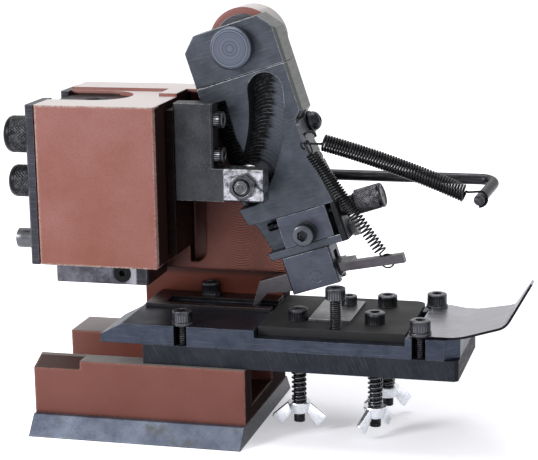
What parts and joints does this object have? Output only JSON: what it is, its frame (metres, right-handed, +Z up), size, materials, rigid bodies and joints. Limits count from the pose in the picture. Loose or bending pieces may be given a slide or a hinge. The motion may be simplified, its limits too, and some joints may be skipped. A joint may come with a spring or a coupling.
{
  "type": "strip feed press applicator",
  "caption": "Side-feed press applicator: a ram in a brown cast head drives a cam-track arm whose pawl feeds strip along a slotted table.",
  "frame": {"origin": "middle of the base plate's underside", "axes": "+X along the strip table towards its lead-in lip, +Y from the viewer's side to the column, +Z up the ram's stroke"},
  "size_m": [0.2249, 0.088, 0.1783],
  "materials": {
    "enamel": "brown enamel, worn to metal on the edges",
    "black_oxide": "black oxide over machined steel",
    "blued_plate": "blued, scuffed steel",
    "ground_steel": "ground bright steel",
    "black_screws": "black socket screws with knurled heads",
    "spring_wire": "black spring wire",
    "bare_sheet": "bare rolled sheet",
    "zinc": "bright zinc plate"
  },
  "bodies": {
    "base": {"base_plate": "blued_plate", "base_screws": "black_screws", "base_block": "enamel", "frame": "enamel", "front_gib": "black_oxide", "rear_gib": "black_oxide", "gib_screws": "black_screws", "pivot_pin": "black_oxide", "thrust_washer": "black_oxide", "pivot_nut": "black_screws", "spring_rod": "spring_wire", "arm_spring": "spring_wire", "table_plate": "black_oxide", "front_guide": "black_oxide", "rear_guide": "black_oxide", "strip_floor": "black_oxide", "strip_cover": "black_oxide", "guide_screws": "black_screws", "guide_washers": "black_screws", "lead_in_lip": "bare_sheet"},
    "ram": {"ram": "black_oxide", "tool_holder": "black_oxide", "tool_clamp": "black_oxide", "tool_screw": "black_screws", "ram_link": "black_oxide", "follower_bracket": "black_oxide", "bracket_screws": "black_screws", "follower_block": "ground_steel", "follower_stud": "ground_steel", "follower_nut": "black_screws"},
    "roller": {"roller": "ground_steel"},
    "feed_arm": {"arm_plate": "black_oxide", "arm_head": "black_oxide", "cam_plate": "black_oxide", "arm_screws": "black_screws", "clamp_screw": "black_screws", "clamp_washer": "black_screws", "end_plate": "black_oxide", "end_bolt": "black_screws", "spring_hanger": "black_oxide", "anchor_screw": "black_screws"},
    "adjust_screw": {"adjust_screw": "black_screws"},
    "feed_slide": {"slide_block": "black_oxide", "pawl_holder": "black_oxide", "pawl_pin": "black_oxide"},
    "pawl": {"feed_pawl": "black_oxide", "pawl_spring": "spring_wire"},
    "drag": {"drag_plate": "black_oxide", "drag_screws": "black_screws", "finger_plate": "ground_steel", "finger_screw": "black_screws", "tall_screw": "black_screws", "drag_spring_1": "spring_wire", "drag_spring_2": "spring_wire", "drag_spring_3": "spring_wire"},
    "wing_nut_1": {"wing_nut_1": "zinc"},
    "wing_nut_2": {"wing_nut_2": "zinc"},
    "wing_nut_3": {"wing_nut_3": "zinc"}
  },
  "joints": [
    {"name": "ram_slide", "type": "slide", "parent": "base", "child": "ram", "axis": [0, 0, 1], "range_m": [0, 0.03]},
    {"name": "roller_spin", "type": "hinge", "parent": "ram", "child": "roller", "pos_m": [0.0431, -0.001, 0.10685], "axis": [0, 1, 0], "continuous": true},
    {"name": "arm_swing", "type": "hinge", "parent": "base", "child": "feed_arm", "pos_m": [0.0356, 0.00625, 0.163], "axis": [0, 1, 0], "range_deg": [0, 15], "stiffness_Nm_per_rad": 0.5, "springref_deg": -11.46, "deforming": ["arm_spring"]},
    {"name": "adjust_turn", "type": "hinge", "parent": "feed_arm", "child": "adjust_screw", "pos_m": [0.05977, 0.004, 0.08861], "axis": [0.9511, 0, 0.309], "range_deg": [-900, 900]},
    {"name": "feed_set", "type": "slide", "parent": "feed_arm", "child": "feed_slide", "axis": [0.9511, 0, 0.309], "range_m": [-0.002, 0.002]},
    {"name": "pawl_turn", "type": "hinge", "parent": "feed_slide", "child": "pawl", "pos_m": [0.07041, 0.00525, 0.06557], "axis": [0, 1, 0], "range_deg": [0, 8], "stiffness_Nm_per_rad": 0.02, "springref_deg": -28.65, "deforming": ["pawl_spring"]},
    {"name": "drag_lift", "type": "slide", "parent": "base", "child": "drag", "axis": [0, 0, 1], "range_m": [0, 0.002], "stiffness_N_per_m": 3000, "springref_m": -0.004, "deforming": ["drag_spring_1", "drag_spring_2", "drag_spring_3"]},
    {"name": "wing_nut_1_turn", "type": "hinge", "parent": "drag", "child": "wing_nut_1", "pos_m": [0.065, -0.013, 0.011], "axis": [0, 0, 1], "continuous": true},
    {"name": "wing_nut_2_turn", "type": "hinge", "parent": "drag", "child": "wing_nut_2", "pos_m": [0.098, -0.013, 0.011], "axis": [0, 0, 1], "continuous": true},
    {"name": "wing_nut_3_turn", "type": "hinge", "parent": "drag", "child": "wing_nut_3", "pos_m": [0.098, 0.01585, 0.011], "axis": [0, 0, 1], "continuous": true}
  ],
  "couplings": [
    {"joint": "arm_swing", "follows": "ram_slide", "rad_per_m": 8.7266},
    {"joint": "adjust_turn", "follows": "feed_set", "rad_per_m": 7854}
  ]
}
